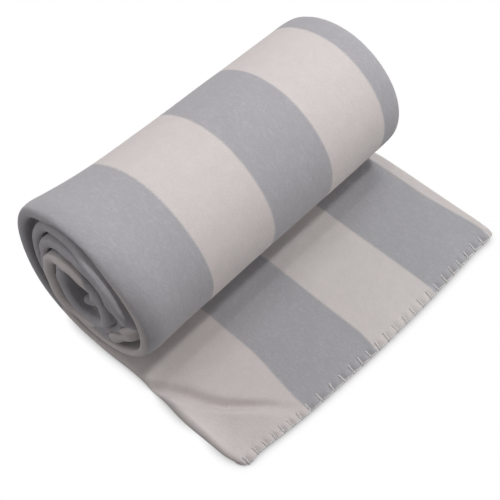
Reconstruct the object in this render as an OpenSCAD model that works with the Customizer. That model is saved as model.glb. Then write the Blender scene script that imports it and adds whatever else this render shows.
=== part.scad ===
// A striped fleece throw, folded in four lengthwise and rolled up, with the last
// stretch left lying flat as a flap. Its two sides are folded in to the middle and
// it is then doubled there, so the cut sides lie hidden between the outer plies.
// One cloth makes the whole object: it is cut into a roll and four flap segments
// only where it bends, and each bend is a hinge.
// Millimetres, +Z up, +Y along the roll, +X out along the flap. The origin is on the
// flat underside, below the middle of the roll's axis.

/* [Cloth] */
// Width of the blanket once it is folded in four, measured along the roll
folded_w = 325; // [280:5:360]
// Thickness of the four plies lying on each other
stack_t = 10.6; // [8:0.1:11.2]

/* [Roll] */
// Radius of the roll where the cloth first meets it, at the bottom
roll_r = 83; // [78:1:90]
// Number of turns from the bottom of the roll to the inner end of the cloth
turns = 5; // [4:0.25:5]
// Air left between one turn and the next
turn_gap = 1.4; // [0.4:0.1:1.6]
// How far the roll's weight flattens it underneath
press = 2.5; // [1:0.5:2.5]

/* [Flap] */
// From the roll's axis to the free edge of the flap
flap_reach = 193; // [180:1:200]
// Angle between the flap and the square of the roll, because the roll is not true
flap_skew = 1.9; // [0:0.1:4]
// From the roll's axis to the first bend
first_bend = 36; // [34:1:38]
// From one bend to the next
bend_step = 40; // [38:1:42]

/* [Stitching] */
// Thickness of the edging thread
thread_d = 0.9; // [0.6:0.1:1.2]
// From one blanket stitch to the next
stitch_pitch = 11.5; // [8:0.5:14]
// Length of a stitch, from the edge into the cloth
stitch_leg = 8.5; // [6:0.5:10]

/* [Hidden] */

segments = 4;
ply_t = stack_t / 4;
turn_pitch = stack_t + turn_gap;
axis_z = roll_r - press;
step_deg = 9;
press_run = 30;
end_setback = 6;
bare_end = 5;
beyond = 400;

fleece_grey = [0.62, 0.63, 0.66];
thread_white = [0.84, 0.82, 0.81];

// Point on the roll's section: turned clockwise from the bottom, seen from the near
// end, and the given depth below the outside of the cloth.
function on_spiral(turned, depth) =
    let (r = roll_r - turn_pitch * turned / 360 - depth)
    [-r * sin(turned), axis_z - r * cos(turned)];

// Where segment n of the flap starts; segment 5 would start at the free edge.
function bend_x(n) = n > segments ? flap_reach + beyond : first_bend + (n - 1) * bend_step;

// The roll's whole section between two depths of the cloth, with the straight run
// that leads out to the first bend.
module roll_section(depth_out, depth_in, last = 360 * turns) {
    outside = [for (a = [0 : step_deg : last]) on_spiral(a, depth_out)];
    inside = [for (a = [last : -step_deg : 0]) on_spiral(a, depth_in)];
    intersection() {
        polygon(concat(
            [[first_bend, depth_out]],
            [[press_run, depth_out]],
            outside,
            inside,
            [[press_run, depth_in]],
            [[first_bend, depth_in]]
        ));
        translate([-beyond, 0])
            square(2 * beyond);
    }
}

// Stands a section drawn in X and Z up, and runs it from y0 to y1.
module along_roll(y0, y1) {
    translate([0, y1, 0])
        rotate([90, 0, 0])
            linear_extrude(y1 - y0)
                children();
}

// The flap seen from above, before it is cut into segments.
module flap_plan() {
    rotate(-flap_skew)
        translate([0, -folded_w / 2])
            square([flap_reach, folded_w]);
}

// The strip of the flap's plan that segment n covers.
module segment_strip(n) {
    translate([bend_x(n), -beyond])
        square([bend_x(n + 1) - bend_x(n), 2 * beyond]);
}

// The rolled part of the cloth: one spiral band, all four plies together.
module fleece_roll() {
    color(fleece_grey)
        along_roll(-folded_w / 2, folded_w / 2)
            roll_section(0, stack_t);
}

// Segment n of the flap, lying flat. Its near and far sides are the folds of the
// cloth, so they are left square to the floor and simply skewed with the flap.
module fleece_flap(n) {
    color(fleece_grey)
        linear_extrude(stack_t)
            intersection() {
                flap_plan();
                segment_strip(n);
            }
}

// Blanket stitching on the free end: legs on the upper ply and, on the end face,
// the thread that joins the legs, once for each of the four plies.
module end_stitching_outer() {
    count = floor((folded_w - 2 * bare_end) / stitch_pitch);
    first_y = -count * stitch_pitch / 2;
    color(thread_white)
        rotate(-flap_skew) {
            for (i = [0 : count])
                translate([flap_reach - stitch_leg, first_y + i * stitch_pitch - thread_d / 2, stack_t])
                    cube([stitch_leg + thread_d, thread_d, thread_d]);
            for (ply = [1 : 4])
                translate([flap_reach, first_y - thread_d / 2, ply * ply_t - thread_d])
                    cube([thread_d, count * stitch_pitch + thread_d, thread_d]);
            translate([flap_reach, first_y - thread_d / 2, stack_t - thread_d])
                cube([thread_d, count * stitch_pitch + thread_d, 2 * thread_d]);
        }
}

// The same thread on the inner end, which the turns hide.
module end_stitching_inner() {
    outer = on_spiral(360 * turns, end_setback / 2);
    color(thread_white)
        translate([outer[0] - thread_d, end_setback - folded_w / 2, outer[1]])
            cube([thread_d, folded_w - 2 * end_setback, stack_t - end_setback]);
}

fleece_roll();
end_stitching_outer();
end_stitching_inner();
for (n = [1 : segments])
    fleece_flap(n);
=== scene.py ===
"""A striped fleece throw, folded in four and rolled up, with its stitched end lying flat as a flap.

The whole throw is one cloth, and it is built from its own two directions. `s` is the distance
along the cloth from its free end, and `v` is the distance across it from the middle line. The
sides are folded in to the middle and the cloth is doubled there, so that every stretch of it is
four plies thick: `profile` says where a point across the cloth comes to lie in that fold, and
`place` lays the folded cloth along the floor as the flap and then winds it up as the roll.
Lengths are in millimetres until a mesh is made. The near end, at -Y, has the doubled edge.
"""

import math

import bpy
import numpy as np
from mathutils import Matrix, Vector


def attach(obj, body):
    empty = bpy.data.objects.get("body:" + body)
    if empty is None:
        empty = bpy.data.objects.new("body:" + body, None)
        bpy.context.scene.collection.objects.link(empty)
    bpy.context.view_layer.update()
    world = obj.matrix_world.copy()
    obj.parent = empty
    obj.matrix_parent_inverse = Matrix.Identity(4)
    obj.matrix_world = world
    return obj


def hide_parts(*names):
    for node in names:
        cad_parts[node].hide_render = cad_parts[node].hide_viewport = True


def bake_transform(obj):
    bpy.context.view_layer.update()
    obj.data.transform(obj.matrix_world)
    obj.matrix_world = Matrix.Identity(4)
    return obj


MM = 0.001

# --- The cloth ---------------------------------------------------------------------------------
PLY = 2.3  # thickness of one ply
PLY_STEP = 2.65  # from one ply to the next in the folded stack
STRIPE = 78.0  # width of a stripe
FIRST_STRIPE = -4.0  # a stripe starts this far from the middle line of the cloth
HALF_WIDTH = 656.0  # from the middle line to a cut side
TOP_FOLD = 327.0  # from the middle line to the fold on the upper side of the flap
OUTER_FOLD = 332.5  # the same on the outside of the roll
CUT_SIDE_GAP = 5.5  # the cut sides lie this far inside the doubled edge
FACES_APART = 3.0  # keeps the nap of the cloth's two faces from being the same
GREY = (0.458, 0.447, 0.471, 1.0)
WHITE = (0.75, 0.69, 0.672, 1.0)

# --- The roll and the flap ---------------------------------------------------------------------
FLAP_REACH = 193.6  # from below the roll's axis to the free end
TURNS = 5.0
ROLL_R = 83.6  # radius where the cloth leaves the floor
TURN_STEP = 12.0  # how much the radius shrinks in a turn
AXIS_Z = 77.7  # height of the roll's axis, before the near end's flare lifts it
FULL_R = 80.0  # radius at which the roll's unevenness has its full size
PRESSED = 4.25  # how much the roll's weight flattens it underneath
PRESS_H = 6.0  # height over which it is flattened
SKEW = 0.0333  # sideways drift of the flap for each unit of its length
NEAR_Y, FAR_Y = -162.0, 166.5  # ends of the roll
FLAP_NEAR_Y, FLAP_FAR_Y = -162.8, 172.3
FLAP_FOLD_AT, ROLL_FOLD_AT = 3.0, -3.0  # where the cloth is doubled, from its middle line
FLAP_CREEP = -9.0  # how far the colours have crept round the flap's doubled edge
BENDS = (36.0, 76.0, 116.0, 156.0)  # distances of the hinges from the roll's axis
BEND_SOFT = 12.0  # reach on either side of a hinge; only worked into an end point for each flap piece, which nothing reads
ROLL_PIECE_FROM = 9.0  # where the rolled piece of the cloth starts, from the roll's axis

# --- The edging --------------------------------------------------------------------------------
STITCH_STEP = 11.6
STITCH_LEG = 7.4
THREAD_R = 0.85

CONTACT_SHADOW = 9.0  # how far the soft shadow reaches over the floor

# --- How the cloth is rolled at the near end, by turns from the bottom --------------------------
# How far the doubled edge of each turn stands out.
NEAR_OUT = (
    (0.0, 3.5), (0.12, 3.5), (0.25, 0.8), (0.34, 1.5), (0.43, 4.5), (0.52, 5.5), (0.6, 6.5),
    (0.75, 4.5), (1.0, 2.0), (1.25, 1.0), (1.36, 2.5), (1.46, 5.0), (1.58, 12.0), (1.67, 14.0),
    (1.715, 11.0), (1.75, 4.0), (1.785, 8.0), (1.825, 4.0), (1.87, 8.0), (1.93, 3.5), (2.1, 3.0),
    (2.25, 5.0), (2.5, 11.0), (2.66, 13.0), (2.76, 5.0), (2.9, 5.0), (3.0, 9.0), (3.12, 13.5),
    (3.28, 12.0), (3.5, 16.0), (3.75, 13.0), (4.0, 9.0), (4.35, 9.0), (4.5, 6.0), (4.7, 9.0),
    (4.85, 2.0), (5.0, 7.0),
)
# How far the doubled edge of each turn is pushed outwards.
LIP_SWELL = (
    (0.0, 0.0), (0.34, 0.0), (0.44, -4.0), (0.56, 0.0), (1.02, 0.0), (1.14, 2.5), (1.22, 2.5),
    (1.34, 0.5), (1.44, -2.0), (1.54, -3.2), (1.62, -2.6), (1.7, -1.2), (1.75, -4.0),
    (1.785, -9.0), (1.825, -6.0), (1.87, -9.0), (1.93, -1.0), (2.2, 0.0), (2.45, 1.0),
    (2.7, 1.0), (2.8, -4.0), (3.0, 0.0), (5.0, 0.0),
)
# How far the colours have crept round the doubled edge.
FOLD_CREEP = (
    (0.0, -9.0), (0.04, -8.0), (0.14, 12.0), (0.42, 14.0), (0.52, 4.0), (0.6, -2.5), (0.75, -5.0),
    (0.85, -6.0), (0.95, -7.0), (1.05, -4.0), (1.2, 12.0), (1.73, 12.0), (1.76, -12.0),
    (1.89, -12.0), (1.94, 12.0), (2.9, 12.0), (3.0, -3.0), (3.2, -3.0), (3.3, -9.0),
    (3.52, -9.0), (3.66, 4.0), (4.0, 10.0), (4.1, 30.0), (5.0, 30.0),
)
# How much the outer turn's edge is squeezed thin.
EDGE_THIN = (
    (0.0, 0.0), (0.42, 0.0), (0.5, 0.5), (0.75, 0.5), (0.9, 0.1), (1.0, 0.0), (5.0, 0.0),
)
# How much less than the rest the edge of every turn curls in, over one turn.
EDGE_FLAT = (
    (0.0, 0.0), (0.3, 0.0), (0.42, 0.3), (0.53, 0.6), (0.6, 0.5), (0.7, 0.15), (0.8, 0.0), (1.0, 0.0),
)
# How far the outer turn's edge droops over its last stretch.
RIM_CURL = (
    (0.0, 0.0), (0.45, 0.0), (0.54, 3.6), (0.62, 5.2), (0.72, 4.8), (0.86, 0.0), (5.0, 0.0),
)
PUCKERS = (1.7, 1.93)  # the turns between which the second turn's edge is puckered

# --- The flap's near edge ----------------------------------------------------------------------
# The crease that cuts off the flap's near corner is a line over the floor that sags in its middle.
CREASE_FROM = (60.0, -172.0)
CREASE_SLOPE = 0.7
CREASE_SAG = 12.5
CREASE_SAG_AT, CREASE_SAG_WIDTH = 128.0, 29.0
# The near edge bulges outwards beside the crease, and is drawn in towards the free end.
BULGE = 5.4
BULGE_AT, BULGE_WIDTH = 126.0, 33.0
DRAWN_IN = 3.4
DRAWN_FROM, DRAWN_OVER = 160.0, 22.0


# --------------------------------------------------------------------------------- soft functions
def smooth(t):
    """From 0 at t = 0 to 1 at t = 1, level at both ends."""
    t = np.clip(t, 0.0, 1.0)
    return t * t * (3.0 - 2.0 * t)


def bell(x, centre, width):
    return np.exp(-(((x - centre) / width) ** 2))


def fading(x, length):
    """1 up to x = 0, and then dying away."""
    return np.exp(-np.maximum(x, 0.0) / length)


def keyed(x, keys):
    """A value that goes smoothly from key to key; keys are (x, value) pairs."""
    xs, values = (np.array(c, float) for c in zip(*keys))
    i = np.clip(np.searchsorted(xs, x, side="right") - 1, 0, len(xs) - 2)
    t = smooth((x - xs[i]) / (xs[i + 1] - xs[i]))
    return values[i] + (values[i + 1] - values[i]) * t


def wobble(a, b, seed):
    """An uneven wave over two directions, from -1 to 1 or so, with a period of about 1 to 3."""
    total = 0.0
    for i in range(5):
        turn = 2.4 * i + seed
        pitch = 2.2 + 0.9 * i + 0.37 * math.sin(seed * 3.1 + i)
        along = a * math.cos(turn) + b * math.sin(turn)
        total = total + np.sin(pitch * along + seed * 5.3 + 1.7 * i) / (1.0 + 0.35 * i)
    return total / 2.2


# ------------------------------------------------------------------------- from cloth to fold line
def wind_table():
    """Turns from the bottom of the roll, and the length of cloth wound up by then."""
    turned = np.linspace(0.0, TURNS, 2001)
    mid_r = ROLL_R - TURN_STEP * turned - 2.0 * PLY_STEP
    step = np.diff(turned) * 2.0 * math.pi * 0.5 * (mid_r[1:] + mid_r[:-1])
    return turned, np.concatenate([[0.0], np.cumsum(step)])


WIND_TURNS, WIND_LENGTH = wind_table()
CLOTH_LENGTH = FLAP_REACH + WIND_LENGTH[-1]


def turned_at(s):
    return np.interp(s - FLAP_REACH, WIND_LENGTH, WIND_TURNS)


def fold_lines(s):
    """Near edge, far edge, doubling line and fold creep of the folded cloth, at distances s."""
    turned = turned_at(s)
    on_flap = smooth((FLAP_REACH - s) / 60.0)
    stands_out = keyed(turned, NEAR_OUT)
    near = FLAP_NEAR_Y * on_flap + (NEAR_Y - stands_out) * (1.0 - on_flap)
    far = FLAP_FAR_Y * on_flap + (FAR_Y - 0.4 * stands_out) * (1.0 - on_flap)
    middle = FLAP_FOLD_AT * on_flap + ROLL_FOLD_AT * (1.0 - on_flap)
    creep = FLAP_CREEP * on_flap + keyed(turned, FOLD_CREEP) * (1.0 - on_flap)
    uneven = 0.7 * wobble(s / 60.0, 0.0, 1.0) + 1.1 * smooth(turned - 1.0) * wobble(s / 17.0, 0.0, 6.0)
    return near + uneven * (1.0 - on_flap), far, middle, creep


def profile(s, w):
    """(v, y, depth) of the cloth's middle surface in the fold, for columns w of rows s.

    v is where the point's colour comes from, which near a fold isn't quite where it lies.
    """
    near, far, middle, creep = fold_lines(s)
    outer_r = 1.5 * PLY_STEP
    inner_r = 0.5 * PLY_STEP
    outer_quarter = 0.5 * math.pi * outer_r
    inner_quarter = 0.5 * math.pi * inner_r
    near_centre = near + 0.5 * PLY + outer_r
    far_centre = far - 0.5 * PLY - inner_r
    cut_y = near + CUT_SIDE_GAP
    v = w + middle * smooth((TOP_FOLD - 20.0 - np.abs(w)) / 280.0)
    from_fold = v - middle

    def fold_angle(distance, radius):
        return np.clip(distance / radius, -0.5 * math.pi, 0.5 * math.pi)

    def straight(v0, v1, y0, y1):
        return y0 + (y1 - y0) * np.clip((v - v0) / (v1 - v0), 0.0, 1.0)

    # The doubled edge of the roll is a little squarer than a half circle.
    doubled = fold_angle(from_fold, outer_r)
    squarer = 1.0 - 0.12 * smooth(turned_at(s) / 0.3)
    fold_out = np.cos(doubled) ** squarer
    fold_up = np.sign(doubled) * np.abs(np.sin(doubled)) ** squarer
    top = fold_angle(v + TOP_FOLD, inner_r)
    outer = fold_angle(v - OUTER_FOLD, inner_r)

    # From one cut side to the other: ply, fold, ply, doubled edge, ply, fold, and the last ply.
    zones = [
        v < -TOP_FOLD - inner_quarter,
        v < -TOP_FOLD + inner_quarter,
        from_fold < -outer_quarter,
        from_fold < outer_quarter,
        v < OUTER_FOLD - inner_quarter,
        v < OUTER_FOLD + inner_quarter,
    ]
    y = np.select(
        zones,
        [
            straight(-HALF_WIDTH, -TOP_FOLD - inner_quarter, cut_y, far_centre),
            far_centre + inner_r * np.cos(top),
            straight(-TOP_FOLD + inner_quarter, middle - outer_quarter, far_centre, near_centre),
            near_centre - outer_r * fold_out,
            straight(middle + outer_quarter, OUTER_FOLD - inner_quarter, near_centre, far_centre),
            far_centre + inner_r * np.cos(outer),
        ],
        straight(OUTER_FOLD + inner_quarter, HALF_WIDTH, far_centre, cut_y),
    )
    depth = np.select(
        zones,
        [
            2.5 * PLY_STEP,
            3.0 * PLY_STEP + inner_r * np.sin(top),
            3.5 * PLY_STEP,
            2.0 * PLY_STEP - outer_r * fold_up,
            0.5 * PLY_STEP,
            PLY_STEP + inner_r * np.sin(outer),
        ],
        1.5 * PLY_STEP,
    )
    creep = creep * smooth((95.0 - np.abs(from_fold)) / 90.0)
    creep = creep + 5.5 * smooth((-v - 250.0) / 55.0) * smooth((85.0 - s) / 85.0)
    return v + creep, y, depth


# ---------------------------------------------------------------------------- from fold to object
def flare(y):
    """How much fatter the roll is at y than at its middle."""
    return 7.3 * np.exp(-(y - NEAR_Y) / 54.0) - 0.8 * smooth((y - 10.0) / 150.0)


def wind(turned, y, depth):
    """Position of a point of the rolled cloth."""
    phi = 2.0 * math.pi * turned
    from_near = y - NEAR_Y

    # A plain spiral, with the outer turn's near edge squeezed thin.
    thin = keyed(turned, EDGE_THIN) * fading(from_near - 6.0, 12.0)
    r = ROLL_R - TURN_STEP * turned - depth * (1.0 - thin)
    share = r / FULL_R

    # It is fatter at its near end, and a little oval.
    r = r + share * (flare(y) - 1.65 * np.cos(2.0 * phi) + 1.98 * np.sin(2.0 * phi))

    # Both ends of every turn curl in, and the outer turn droops at its near edge.
    near_round = np.clip(1.0 - (from_near + 2.0) / 16.0, 0.0, 1.3) ** 2
    far_round = np.clip(1.0 - (FAR_Y + 1.0 - y) / 14.0, 0.0, 1.3) ** 2
    rim_round = np.clip(1.0 - (from_near + 2.0) / 26.0, 0.0, 1.2) ** 2
    near_curl = 4.5 * (1.0 - keyed(turned % 1.0, EDGE_FLAT)) * near_round
    r = r - keyed(turned, RIM_CURL) * rim_round
    r = r - share ** 1.5 * (near_curl + 2.0 * far_round)

    # Cloth rolled by hand is uneven, most of all along its doubled edge.
    r = r + 0.5 * share * wobble(y / 70.0, np.sin(phi) * 1.3 + 0.4 * np.cos(phi), 2.0)
    ripple = 1.2 * smooth(turned - 1.0) * wobble(turned * 11.0, y / 25.0, 7.0)
    r = r + fading(from_near + 8.0, 16.0) * (keyed(turned, LIP_SWELL) + ripple)

    # The last half turn is tucked in, and the core is out of round.
    r = r - 9.0 * smooth((turned - 4.5) / 0.5)
    core = bell(r, 20.0, 13.0)
    r = r + core * (3.2 * np.cos(2.0 * phi + 0.6) + 1.6 * np.cos(3.0 * phi + 1.0 + y / 50.0))

    # At the near end the inner turns hang away from the outer one, on the side away from the flap.
    x = -r * np.sin(phi)
    slack = 0.05 * smooth((turned - 0.8) / 0.35) * smooth((-126.0 - y) / 36.0)
    x = 70.0 - (70.0 - x) * (1.0 - slack)

    # The roll's weight flattens it underneath, and the stripes drift towards its far end.
    z = AXIS_Z + flare(y) - r * np.cos(phi)
    z = z + PRESSED * fading(z + PRESSED, PRESS_H)
    along = np.clip(from_near / (FAR_Y - NEAR_Y), 0.0, 1.0)
    y = y + 3.5 * np.sin(math.pi * along) * smooth(turned / 0.2)
    return x, y, z


def crease_line(x):
    """Where the crease crosses the floor at x."""
    sag = CREASE_SAG * bell(x, CREASE_SAG_AT, CREASE_SAG_WIDTH)
    return CREASE_FROM[1] + CREASE_SLOPE * (x - CREASE_FROM[0]) - sag


def near_bulge(x):
    """How much the flap's near edge stands out at x."""
    return BULGE * bell(x, BULGE_AT, BULGE_WIDTH) - DRAWN_IN * smooth((x - DRAWN_FROM) / DRAWN_OVER)


def crease_height(x, y):
    """Height of the upper ply beside the crease: it dips towards it and then swells."""
    away = 0.82 * (crease_line(x) - y)
    dip = -6.5 * bell(away, 0.0, np.where(away < 0.0, 3.8, 8.0))
    swell = 6.8 * smooth((away - 1.0) / 14.0) * fading(away - 14.0, 22.0)
    return (dip + swell) * smooth((185.0 - x) / 50.0) * smooth((x - 60.0) / 14.0)


def stitch_phase(y):
    """Distance to the nearest stitch across the free end."""
    from_first = y - FLAP_NEAR_Y - 0.5 * STITCH_STEP
    return from_first - STITCH_STEP * np.round(from_first / STITCH_STEP)


def lay(run, y, depth, s):
    """Position of a point of the flap, run from below the roll's axis."""
    share = depth / (4.0 * PLY_STEP)  # 0 on the floor, 1 on the upper face

    # The free end is bowed, and its corners are rounded.
    t = (y - 3.4) / 166.3
    bow = SKEW * (y - 3.4) - 8.6 * t * t + 3.0 * smooth((y - 140.0) / 30.0)
    bow = bow + 2.5 * smooth((-140.0 - y) / 20.0)
    fade = np.clip((run - 40.0) / 156.0, 0.0, 1.0) ** 1.5
    corner = 0.0
    for inside, radius in ((y - FLAP_NEAR_Y, 7.0), (FLAP_FAR_Y - y, 4.5)):
        e = np.clip(radius - inside, 0.0, radius)
        corner = corner + radius - np.sqrt(radius * radius - e * e)
    x = run + bow * fade - corner * smooth((run - 180.0) / 16.0)

    # The near edge is thinner, bulges out and is lifted off the floor beside the crease.
    thin = 0.86 + 0.11 * (y / 165.0)
    thin = 1.0 + (thin - 1.0) * smooth((run - 30.0) / 60.0)
    y_floor = y - SKEW * run - near_bulge(x) * smooth((-110.0 - y) / 50.0)
    z = depth * thin + share * crease_height(x, y_floor)
    z = z + share * 0.7 * wobble(x / 60.0, y / 60.0, 4.0) * smooth((run - 40.0) / 40.0)
    z = z + 7.5 * bell(x, 132.0, 26.0) * fading(y_floor + 168.0, 16.0)

    # Towards the free end the cloth is drawn sideways, most where the first stripe meets the second.
    y_floor = y_floor - 8.0 * bell(y, -82.0, 32.0) * smooth((x - 105.0) / 75.0) * share
    y_floor = y_floor - 3.0 * bell(y, 2.0, 30.0) * smooth((run - 165.0) / 28.0)

    # Every stitch pulls a dent into the edge, and the cloth stands up between them.
    pull = bell(stitch_phase(y), 0.0, 2.4)
    z = z - share * 1.9 * pull * (1.0 - smooth((s - 3.5) / 6.0))
    z = z + share * 0.6 * (1.0 - pull) * bell(s, 5.0, 3.5)
    x = x - 0.9 * pull * (1.0 - smooth(s / 4.0))

    # The stitches draw the plies together at the free end, and most of all at its near corner.
    drawn = 0.34 * np.exp(-s / 7.0)
    drawn = drawn + 0.3 * np.exp(-s / 5.0) * smooth((FLAP_NEAR_Y + 14.0 - y) / 10.0)
    z = z * (1.0 - drawn)
    x = x - 3.6 * (1.0 - share) * np.exp(-s / 10.0)

    joins_roll = smooth(run / 35.0)
    z_roll = wind(0.0 * run, y, depth)[2]
    return x, y_floor, z_roll * (1.0 - joins_roll) + z * joins_roll


def place(s, y, depth):
    """Where a point of the folded cloth lies."""
    s = s + 0.0 * y
    run = FLAP_REACH - s
    rolled = wind(turned_at(s), y, depth)
    flat = lay(np.maximum(run, 0.0), y, depth, s)
    return [np.where(run > 0.0, f, r) for f, r in zip(flat, rolled)]


# ----------------------------------------------------------------------------- building the mesh
def spaced(a, b, step):
    return np.linspace(a, b, max(1, int(math.ceil(abs(b - a) / step))) + 1)


def columns(step):
    """Columns across the cloth, closer together at the three folds and the cut sides."""
    stretches = (
        (-TOP_FOLD - 6.0, step), (-TOP_FOLD + 6.0, 0.8), (-26.0, step), (-8.0, 1.5), (8.0, 0.8),
        (26.0, 1.5), (OUTER_FOLD - 6.0, step), (OUTER_FOLD + 6.0, 0.8), (HALF_WIDTH - 1.4, step),
    )
    marks = [-HALF_WIDTH, -HALF_WIDTH + 0.25, -HALF_WIDTH + 0.7, -HALF_WIDTH + 1.4]
    for end, spacing in stretches:
        count = max(1, int(round((end - marks[-1]) / spacing)))
        marks += np.linspace(marks[-1], end, count + 1)[1:].tolist()
    return np.array(marks + [HALF_WIDTH - 0.7, HALF_WIDTH - 0.25, HALF_WIDTH])


def edge_round(distance):
    """Half thickness of a ply at a distance from its cut edge."""
    t = np.clip(distance / (0.5 * PLY), 0.0, 1.0)
    return 0.5 * PLY * np.sqrt(np.maximum(1.0 - (1.0 - t) ** 2, 0.0))


def linked(name, data):
    """A new object in the scene."""
    obj = bpy.data.objects.new(name, data)
    bpy.context.scene.collection.objects.link(obj)
    return obj


def cloth_piece(name, rows, cols):
    """One closed piece of the folded cloth, between its first and last row."""
    s = np.asarray(rows, float)[:, None]
    w = np.asarray(cols, float)[None, :]
    v, y, depth = profile(s, w)

    # Both faces stand half a ply off the middle surface, square to the profile of the fold.
    along_y, along_depth = np.gradient(y, axis=1), np.gradient(depth, axis=1)
    norm = np.sqrt(along_y * along_y + along_depth * along_depth) + 1e-9
    off_y, off_depth = -along_depth / norm, along_y / norm
    half = edge_round(HALF_WIDTH - np.abs(w)) * np.minimum(1.0, edge_round(s + 0.02) / (0.5 * PLY))
    half = half * np.minimum(1.0, edge_round(CLOTH_LENGTH - s + 0.02) / (0.5 * PLY))
    face = place(s, y - half * off_y, depth - half * off_depth)
    back = place(s, y + half * off_y, depth + half * off_depth)

    # A row of points runs over the face and returns over the back.
    n_rows, n_cols = v.shape
    loop = 2 * n_cols - 2
    points = np.empty((n_rows, loop, 3))
    cloth = np.empty((n_rows, loop, 3))
    for i, on_cloth_at in enumerate((v, s + 0.0 * v, 0.0 * v)):
        points[:, :n_cols, i] = face[i]
        points[:, n_cols:, i] = back[i][:, -2:0:-1]
        cloth[:, :n_cols, i] = on_cloth_at
        cloth[:, n_cols:, i] = on_cloth_at[:, -2:0:-1]
    cloth[:, n_cols:, 2] = FACES_APART

    index = np.arange(n_rows * loop).reshape(n_rows, loop)
    after = np.roll(index, -1, axis=1)
    quads = np.stack([index[:-1], index[1:], after[1:], after[:-1]], -1).reshape(-1, 4)
    caps = []
    for row, flip in ((0, False), (n_rows - 1, True)):
        for j in range(n_cols - 1):
            a, b = index[row, j], index[row, j + 1]
            c = index[row, n_cols - 1] if j + 1 == n_cols - 1 else index[row, loop - (j + 1)]
            e = index[row, 0] if j == 0 else index[row, loop - j]
            ring = [int(k) for k in dict.fromkeys((a, b, c, e))]
            caps.append(ring[::-1] if flip else ring)

    mesh = bpy.data.meshes.new(name)
    mesh.from_pydata((points.reshape(-1, 3) * MM).tolist(), [], quads.tolist() + caps)
    mesh.polygons.foreach_set("use_smooth", [True] * len(quads) + [False] * len(caps))
    for edge in mesh.edges:
        rows_at = {k // loop for k in edge.vertices}
        if rows_at == {0} or rows_at == {n_rows - 1}:
            edge.use_edge_sharp = True
    attribute = mesh.attributes.new("cloth", "FLOAT_VECTOR", "POINT")
    attribute.data.foreach_set("vector", (cloth.reshape(-1, 3) * MM).ravel())
    mesh.update()
    return linked(name, mesh)


# ------------------------------------------------------------------------------------ the thread
def tubes(name, paths, radius, sides=6):
    """One mesh of closed tubes along the paths."""
    verts, faces = [], []
    for path in paths:
        tangent = np.gradient(path, axis=0)
        tangent /= np.linalg.norm(tangent, axis=1)[:, None] + 1e-9
        side = np.cross(tangent, np.array([0.0, 0.0, 1.0]) + 0.0 * tangent)
        steep = np.linalg.norm(side, axis=1) < 0.2
        side[steep] = np.cross(tangent[steep], np.array([0.0, 1.0, 0.0]))
        side /= np.linalg.norm(side, axis=1)[:, None]
        up = np.cross(side, tangent)
        base = len(verts)
        last = base + (len(path) - 1) * sides
        for i in range(len(path)):
            for k in range(sides):
                a = 2.0 * math.pi * k / sides
                round_it = math.cos(a) * side[i] + math.sin(a) * up[i]
                verts.append(((path[i] + radius * round_it) * MM).tolist())
        for start in range(base, last, sides):
            for k in range(sides):
                a, b = start + k, start + (k + 1) % sides
                faces.append((a, b, b + sides, a + sides))
        faces.append([base + k for k in range(sides)][::-1])
        faces.append([last + k for k in range(sides)])
    mesh = bpy.data.meshes.new(name)
    mesh.from_pydata(verts, [], faces)
    mesh.polygons.foreach_set("use_smooth", [True] * len(faces))
    mesh.update()
    return linked(name, mesh)


def on_cloth(s, y, depth):
    return np.stack(place(s, y, depth), -1)


def end_stitches(end):
    """Blanket stitching on an end of the cloth: legs on the upper ply and thread along the edge.

    `end` is where the end is, along the cloth: 0 for the free end, CLOTH_LENGTH for the inner one.
    """
    inwards = 1.0 if end == 0.0 else -1.0
    near, far = (float(line) for line in fold_lines(end)[:2])
    if end > 0.0:
        near, far = near + 4.0, far - 4.0
    count = int((far - near - STITCH_STEP) / STITCH_STEP) + 1
    top = 4.0 * PLY_STEP - 0.5 * (PLY_STEP - PLY)
    paths = []
    for i in range(count):
        y = near + (i + 0.5) * STITCH_STEP
        lean = 0.7 * math.sin(2.3 * i)
        reach = STITCH_LEG + 0.6 * math.sin(1.7 * i + 1.0)
        leg_in = np.array([reach + 0.9, reach + 0.2, 0.7 * reach, 0.4 * reach, 0.9, -0.35, -0.5])
        leg_top = top + np.array([-1.3, 0.3, 0.55, 0.5, 0.35, -0.9, -1.8])
        paths.append(on_cloth(end + inwards * leg_in, y + lean * leg_in / reach, leg_top))
    ys = np.linspace(near + 5.0, far - 5.0, 160)
    for ply in range(4):
        wave = 0.5 * np.sin(ys * 2.0 * math.pi / STITCH_STEP + ply)
        paths.append(on_cloth(end + inwards * 0.35 + 0.0 * ys, ys, (ply + 0.5) * PLY_STEP + wave))
    return paths


# ------------------------------------------------------------------------------------ materials
def set_input(tree, node, key, value):
    if isinstance(value, bpy.types.NodeSocket):
        tree.links.new(value, node.inputs[key])
    else:
        node.inputs[key].default_value = value


def add(tree, kind, inputs, **settings):
    node = tree.nodes.new(kind)
    for key, value in settings.items():
        setattr(node, key, value)
    for key, value in inputs.items():
        set_input(tree, node, key, value)
    return node


def math_node(tree, operation, a, b=0.0, c=0.0):
    return add(tree, "ShaderNodeMath", {0: a, 1: b, 2: c}, operation=operation).outputs[0]


def mix_colour(tree, factor, a, b, blend="MIX"):
    inputs = {0: factor, 6: a, 7: b}
    return add(tree, "ShaderNodeMix", inputs, data_type="RGBA", blend_type=blend).outputs[2]


def ramp(tree, value, x0, x1, y0, y1):
    return add(tree, "ShaderNodeMapRange", {0: value, 1: x0, 2: x1, 3: y0, 4: y1}).outputs[0]


def noise(tree, vector, scale, detail, roughness=0.5, distortion=0.0):
    inputs = {"Vector": vector, "Scale": scale, "Detail": detail}
    inputs.update({"Roughness": roughness, "Distortion": distortion})
    return add(tree, "ShaderNodeTexNoise", inputs).outputs[0]


def bump(tree, height, strength, distance):
    inputs = {"Strength": strength, "Distance": distance, "Height": height}
    return add(tree, "ShaderNodeBump", inputs).outputs[0]


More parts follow.
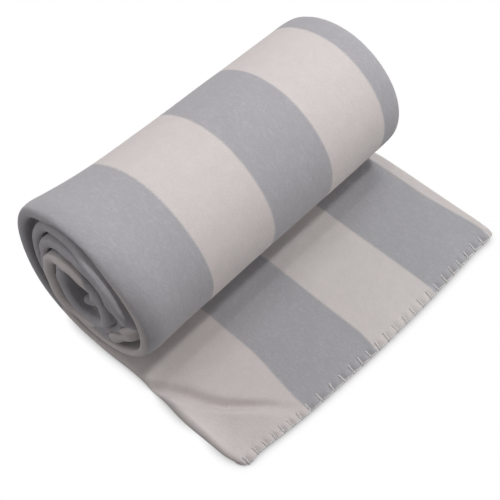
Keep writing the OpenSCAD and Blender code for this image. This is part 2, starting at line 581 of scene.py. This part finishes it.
def new_material(name):
    material = bpy.data.materials.new(name)
    material.use_nodes = True
    material.node_tree.nodes.clear()
    return material, material.node_tree


def show(tree, shader, kind="ShaderNodeOutputMaterial"):
    tree.links.new(shader.outputs[0], tree.nodes.new(kind).inputs[0])


def fleece_material():
    """Striped fleece. The `cloth` attribute says where each point lies on the flat cloth."""
    material, tree = new_material("fleece")
    cloth = add(tree, "ShaderNodeAttribute", {}, attribute_name="cloth").outputs["Vector"]
    across = add(tree, "ShaderNodeSeparateXYZ", {0: cloth}).outputs[0]

    # The stripes, slightly frayed where they meet.
    fray = noise(tree, cloth, 900.0, 2.0)
    shift = math_node(tree, "MULTIPLY_ADD", fray, 0.0022, -0.0011 - FIRST_STRIPE * MM)
    stripe_angle = math_node(
        tree, "MULTIPLY", math_node(tree, "ADD", across, shift), math.pi / (STRIPE * MM)
    )
    in_grey = ramp(tree, math_node(tree, "SINE", stripe_angle), -0.045, 0.045, 0.0, 1.0)
    stripes = mix_colour(tree, in_grey, WHITE, GREY)

    # A mottled nap.
    mottle = noise(tree, cloth, 75.0, 5.0, 0.62)
    nap = noise(tree, cloth, 700.0, 3.0, 0.65)
    shade = math_node(tree, "MULTIPLY_ADD", mottle, 0.13, 0.935)
    shade = math_node(tree, "MULTIPLY", shade, math_node(tree, "MULTIPLY_ADD", nap, 0.2, 0.9))

    # The half of the cloth that shows on the flap's upper side is painted darker, as painted shade for
    # the lower light the flap gets beside the roll, and it is tinted a little cooler further from the
    # doubled edge.
    flap_painted_shade = ramp(tree, across, -0.03, 0.0, 0.838, 1.0)
    # painted shade on the flap side of the cloth
    shade = math_node(tree, "MULTIPLY", shade, flap_painted_shade)
    cooler = ramp(tree, across, -0.2, -0.06, 1.014, 1.0)

    # Light wisps of fibre that lie one way, mostly seen on the grey.
    mapping = {"Vector": cloth, "Rotation": (0.0, 0.0, 0.6), "Scale": (230.0, 105.0, 1.0)}
    lying = add(tree, "ShaderNodeMapping", mapping).outputs[0]
    wisp = ramp(tree, noise(tree, lying, 1.0, 4.0, 0.62, 2.2), 0.48, 0.78, 0.0, 0.18)
    wisp = math_node(tree, "MULTIPLY", wisp, math_node(tree, "MULTIPLY_ADD", in_grey, 0.75, 0.25))
    shade = math_node(tree, "MULTIPLY", shade, math_node(tree, "ADD", wisp, 0.98))

    cool_shade = math_node(tree, "MULTIPLY", shade, cooler)
    tone = add(tree, "ShaderNodeCombineColor", {0: shade, 1: cool_shade, 2: cool_shade}).outputs[0]
    height = math_node(tree, "ADD", math_node(tree, "MULTIPLY", nap, 0.5), mottle)
    show(tree, add(tree, "ShaderNodeBsdfPrincipled", {
        "Base Color": mix_colour(tree, 1.0, stripes, tone, "MULTIPLY"),
        "Roughness": 0.95,
        "Specular IOR Level": 0.15,
        "Sheen Weight": 0.25,
        "Sheen Roughness": 0.6,
        "Sheen Tint": (1.0, 1.0, 1.0, 1.0),
        "Normal": bump(tree, height, 0.45, 0.0012),
    }))
    return material


def thread_material():
    material, tree = new_material("thread")
    fibre = noise(tree, add(tree, "ShaderNodeTexCoord", {}).outputs["Object"], 1500.0, 2.0)
    show(tree, add(tree, "ShaderNodeBsdfPrincipled", {
        "Base Color": mix_colour(tree, fibre, (0.58, 0.56, 0.555, 1.0), (0.74, 0.715, 0.705, 1.0)),
        "Roughness": 0.7,
        "Specular IOR Level": 0.3,
        "Sheen Weight": 0.2,
        "Normal": bump(tree, fibre, 0.5, 0.0003),
    }))
    return material


def floor_material():
    """A plain white sweep that shows only the soft contact shadow round the cloth."""
    material, tree = new_material("floor")
    reach = {"Distance": CONTACT_SHADOW * MM}
    open_sky = add(tree, "ShaderNodeAmbientOcclusion", reach, samples=16).outputs["AO"]
    shadow = math_node(tree, "POWER", math_node(tree, "SUBTRACT", 1.0, open_sky), 1.6)
    glow = {"Color": (1.0, 1.0, 1.0, 1.0), "Strength": math_node(tree, "SUBTRACT", 1.0, shadow)}
    show(tree, add(tree, "ShaderNodeEmission", glow))
    return material


def bounce_material():
    material, tree = new_material("bounce")
    show(tree, add(tree, "ShaderNodeBsdfDiffuse", {"Color": (0.46, 0.45, 0.455, 1.0)}))
    return material


# ------------------------------------------------------------------------------------- the object
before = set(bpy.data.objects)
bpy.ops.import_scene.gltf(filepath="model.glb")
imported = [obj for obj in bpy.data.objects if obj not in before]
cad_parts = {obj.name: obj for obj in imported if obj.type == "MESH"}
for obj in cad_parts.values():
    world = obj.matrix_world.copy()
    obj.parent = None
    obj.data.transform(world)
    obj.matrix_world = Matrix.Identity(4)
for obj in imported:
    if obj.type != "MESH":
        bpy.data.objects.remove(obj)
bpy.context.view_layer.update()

# Where each piece of the cloth ends: half way between two hinges, and just short of the roll.
cuts = [FLAP_REACH - 0.5 * (BENDS[i] + BENDS[i + 1]) for i in (2, 1, 0)]
cuts.append(FLAP_REACH - ROLL_PIECE_FROM)
puckers = [float(FLAP_REACH + np.interp(turn, WIND_TURNS, WIND_LENGTH)) for turn in PUCKERS]
free_rows = np.concatenate([
    [0.0, 0.15, 0.5, 1.1],
    spaced(2.0, 14.0, 1.5),
    spaced(14.0, cuts[0], 2.6)[1:],
])
roll_rows = np.concatenate([
    spaced(cuts[3], puckers[0], 4.6),
    spaced(*puckers, 2.0)[1:-1],
    spaced(puckers[1], CLOTH_LENGTH - 2.0, 4.6),
    CLOTH_LENGTH - np.array([1.1, 0.5, 0.15, 0.0]),
])
coarse, fine = columns(6.5), columns(STITCH_STEP / 6.0)
cloth_roll = cloth_piece("cloth_roll", roll_rows, coarse)
cloth_flap_a = cloth_piece("cloth_flap_a", spaced(cuts[2], cuts[3], 3.0), coarse)
cloth_flap_b = cloth_piece("cloth_flap_b", spaced(cuts[1], cuts[2], 2.6), fine)
cloth_flap_c = cloth_piece("cloth_flap_c", spaced(cuts[0], cuts[1], 2.6), fine)
cloth_flap_d = cloth_piece("cloth_flap_d", free_rows, fine)
flap_pieces = (cloth_flap_a, cloth_flap_b, cloth_flap_c, cloth_flap_d)

fleece = fleece_material()
for piece in (cloth_roll,) + flap_pieces:
    piece.data.materials.append(fleece)

thread = thread_material()
for name, end, body, node in (
    ("stitches_free_end", 0.0, "flap_4", "end_stitching_outer"),
    ("stitches_inner_end", CLOTH_LENGTH, "roll", "end_stitching_inner"),
):
    piece = tubes(name, end_stitches(end), THREAD_R)
    piece.data.materials.append(thread)
    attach(piece, body)
    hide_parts(node)

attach(cloth_roll, "roll")
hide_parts("fleece_roll")
for i, piece in enumerate(flap_pieces):
    end = ((BENDS[i] + BEND_SOFT) * MM, 0.0, 0.0)
    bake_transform(piece)
    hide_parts(f"fleece_flap_{i + 1}")


# ------------------------------------------------------------------------- floor, light, camera
def level_ground(name, height, material):
    bpy.ops.mesh.primitive_plane_add(size=80.0, location=(0.0, 0.0, height))
    ground = bpy.context.object
    ground.name = name
    ground.data.materials.append(material)
    return ground


def lamp(name, size, energy, place_at, aim):
    data = bpy.data.lights.new(name, "AREA")
    data.shape = "DISK"
    data.size = size
    data.energy = energy
    obj = linked(name, data)
    obj.location = place_at
    obj.rotation_euler = (Vector(aim) - Vector(place_at)).to_track_quat("-Z", "Y").to_euler()


def studio_world():
    """A soft dome: how bright it is towards each side, and below, where the pale floor glows."""
    world = bpy.data.worlds.new("studio")
    world.use_nodes = True
    tree = world.node_tree
    tree.nodes.clear()
    direction = add(tree, "ShaderNodeTexCoord", {}).outputs["Generated"]
    x, y, z = add(tree, "ShaderNodeSeparateXYZ", {0: direction}).outputs
    total = math_node(tree, "MULTIPLY", math_node(tree, "MAXIMUM", z, 0.0), 0.06)
    for axis, sign, strength in ((x, -1.0, 0.56), (x, 1.0, 0.02), (y, -1.0, 0.48), (y, 1.0, 0.42)):
        side = math_node(tree, "MAXIMUM", math_node(tree, "MULTIPLY", axis, sign), 0.0)
        total = math_node(tree, "MULTIPLY_ADD", side, strength, total)
    above = ramp(tree, z, -0.05, 0.05, 0.0, 1.0)
    dome = add(tree, "ShaderNodeMix", {0: above, 2: 0.43, 3: total}, data_type="FLOAT").outputs[0]
    glow = add(tree, "ShaderNodeBackground", {0: (1.0, 0.985, 0.992, 1.0), 1: dome})
    show(tree, glow, "ShaderNodeOutputWorld")
    bpy.context.scene.world = world


# What the camera sees as the floor, and the one that throws light back up at the cloth.
level_ground("floor", 0.0, floor_material()).visible_diffuse = False
level_ground("bounce", -0.0005, bounce_material()).visible_camera = False

lamp("key", 0.24, 12.3, (0.62, 0.6, 2.0), (0.0, 0.0, 0.05))
lamp("key_top", 0.16, 2.9, (0.1, 0.1, 2.2), (0.0, 0.0, 0.05))
lamp("fill_far", 0.5, 2.5, (0.75, 0.75, 0.35), (0.0, 0.15, 0.06))
lamp("key_back", 0.8, 8.5, (-0.2, 1.0, 1.9), (0.0, 0.0, 0.05))
studio_world()

# The camera looks down across the flap at the near end of the roll, and is tilted a little.
YAW, PITCH, TILT = 0.78447, 0.92069, -0.04767
CAMERA_AT = (0.48766, -0.45417, 0.8496)
back = Vector((math.sin(YAW) * math.cos(PITCH), -math.cos(YAW) * math.cos(PITCH), math.sin(PITCH)))
level = Vector((math.cos(YAW), math.sin(YAW), 0.0))
upright = back.cross(level)
right = math.cos(TILT) * level + math.sin(TILT) * upright
up = -math.sin(TILT) * level + math.cos(TILT) * upright
camera_data = bpy.data.cameras.new("camera")
camera_data.sensor_width = 36.0
camera_data.lens = 81.63
camera_data.clip_start = 0.05
camera_data.clip_end = 50.0
camera = linked("camera", camera_data)
turned_to = Matrix((right, up, back)).transposed().to_4x4()
camera.matrix_world = Matrix.Translation(CAMERA_AT) @ turned_to
bpy.context.scene.camera = camera

bpy.context.scene.view_settings.view_transform = "Standard"
bpy.context.scene.view_settings.look = "None"
